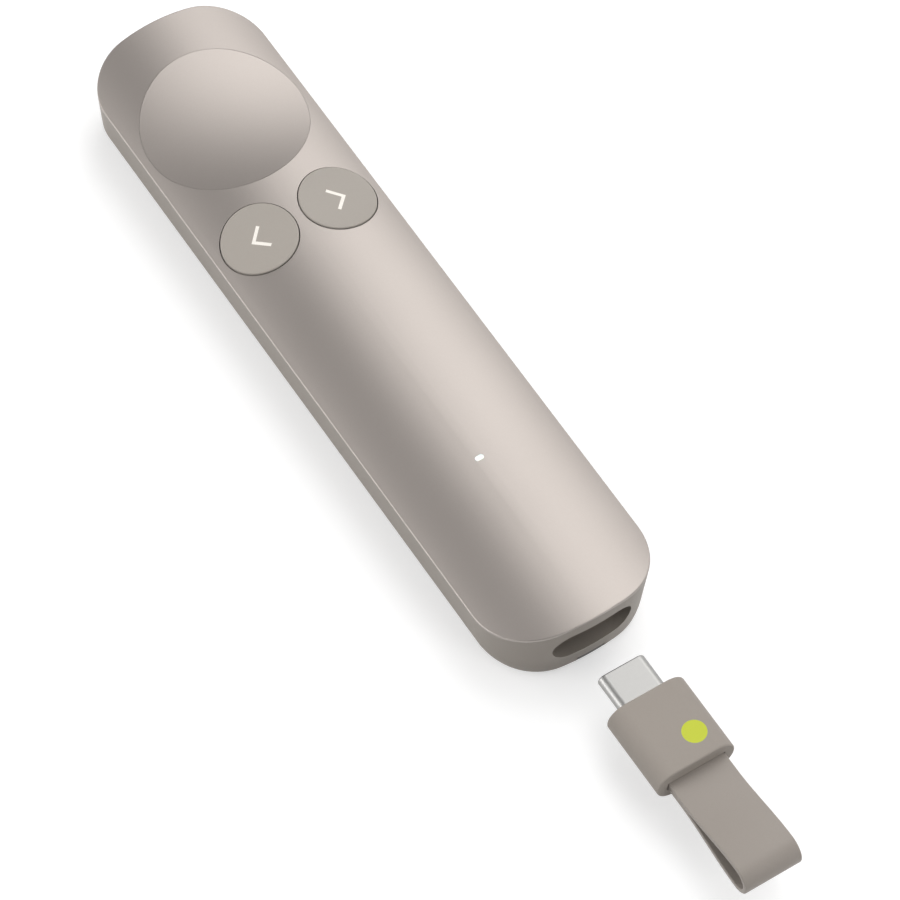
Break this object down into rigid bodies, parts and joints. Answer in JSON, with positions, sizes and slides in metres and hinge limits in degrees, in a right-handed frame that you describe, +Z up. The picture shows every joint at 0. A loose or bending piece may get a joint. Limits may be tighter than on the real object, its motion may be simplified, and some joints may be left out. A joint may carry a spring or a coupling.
{
  "type": "wireless presentation clicker",
  "caption": "Slim crowned bar clicker with a dished pointer button, round back and next buttons, and a strap-looped plug-in receiver that stores in its end pocket.",
  "frame": {"origin": "on the flat underside, below the middle of the case", "axes": "+Y along the case towards the dished pointer button, +Z up out of the button face, +X to the next button's side"},
  "size_m": [0.0296, 0.177, 0.0149],
  "materials": {
    "lid_satin": "satin",
    "shell_satin": "satin",
    "pocket_dark": "matte",
    "port_steel": "satin",
    "black_plastic": "matte",
    "board_green": "satin",
    "switch_metal": "satin",
    "light_white": "gloss",
    "cell_foil": "satin",
    "screw_steel": "satin",
    "button_matte": "matte",
    "mark_white": "matte",
    "receiver_rubber": "matte",
    "plug_steel": "polished",
    "strap_rubber": "matte",
    "lime_mark": "matte"
  },
  "bodies": {
    "clicker_body": {"top_shell": "lid_satin", "lower_shell": "shell_satin", "pocket_liner": "pocket_dark", "charging_port": "port_steel", "port_tongue": "black_plastic", "circuit_board": "board_green", "pointer_switch": "switch_metal", "back_switch": "switch_metal", "next_switch": "switch_metal", "radio_shield": "switch_metal", "controller_chip": "black_plastic", "status_led": "light_white", "status_light": "light_white", "battery_cell": "cell_foil", "buzzer_motor": "switch_metal", "power_switch": "black_plastic", "case_screws": "screw_steel"},
    "pointer": {"pointer_button": "shell_satin"},
    "back": {"back_button": "button_matte", "back_chevron": "mark_white"},
    "next": {"next_button": "button_matte", "next_chevron": "mark_white"},
    "power": {"power_knob": "black_plastic"},
    "receiver": {"receiver_housing": "receiver_rubber", "plug_shell": "plug_steel", "plug_insert": "black_plastic", "receiver_board": "board_green", "strap_loop": "strap_rubber", "strap_pin": "screw_steel", "accent_dot": "lime_mark"}
  },
  "joints": [
    {"name": "pointer_press", "type": "slide", "parent": "clicker_body", "child": "pointer", "axis": [0, 0, -1], "range_m": [0, 0.0004], "stiffness_N_per_m": 500},
    {"name": "back_press", "type": "slide", "parent": "clicker_body", "child": "back", "axis": [0, 0, -1], "range_m": [0, 0.0004], "stiffness_N_per_m": 500},
    {"name": "next_press", "type": "slide", "parent": "clicker_body", "child": "next", "axis": [0, 0, -1], "range_m": [0, 0.0004], "stiffness_N_per_m": 500},
    {"name": "power_slide", "type": "slide", "parent": "clicker_body", "child": "power", "axis": [0, 1, 0], "range_m": [0, 0.002]},
    {"name": "receiver_slide", "type": "slide", "parent": "clicker_body", "child": "receiver", "axis": [0, 1, 0], "range_m": [0, 0.0275]}
  ]
}
